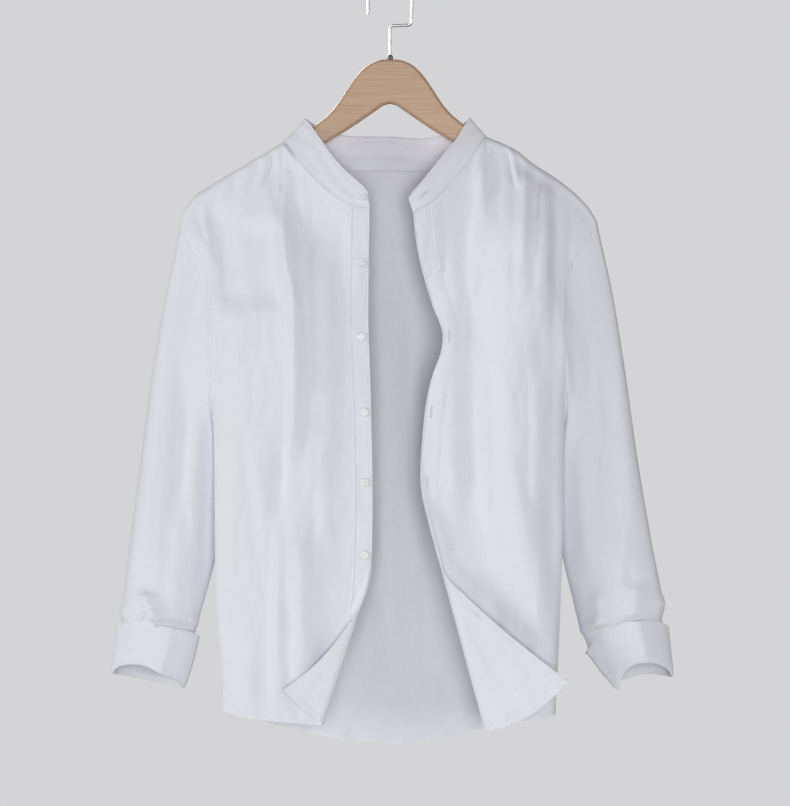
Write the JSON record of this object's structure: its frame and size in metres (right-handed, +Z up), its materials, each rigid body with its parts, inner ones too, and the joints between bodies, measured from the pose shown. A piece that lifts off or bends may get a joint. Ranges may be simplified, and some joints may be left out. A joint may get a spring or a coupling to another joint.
{
  "type": "shirt on a hanger",
  "caption": "Long-sleeved linen shirt with a band collar, its front open and its cuffs turned back, hanging on a flat wooden hanger with a bent wire hook.",
  "frame": {"origin": "middle of the underside of the hook's top bar, where it rests on a rail, so that the whole object hangs below it", "axes": "+Z up, the shirt's front faces -Y, +X towards the wearer's left side"},
  "size_m": [0.6668, 0.1053, 0.8915],
  "materials": {
    "linen": "matt plain weave, bleached white",
    "button": "semi-matt white",
    "wood": "beech with a satin varnish",
    "plated_wire": "bright plated steel wire"
  },
  "bodies": {
    "root": {"front_right": "linen", "front_left": "linen", "placket_right": "linen", "placket_left": "linen", "back_yoke": "linen", "back_panel": "linen", "collar_band": "linen", "sleeve_right": "linen", "sleeve_left": "linen", "cuff_right": "linen", "cuff_left": "linen", "button_1": "button", "button_2": "button", "button_3": "button", "button_4": "button", "button_5": "button", "button_6": "button", "hanger_wood": "wood", "hanger_hook": "plated_wire", "hook_ferrule": "plated_wire"}
  },
  "joints": []
}
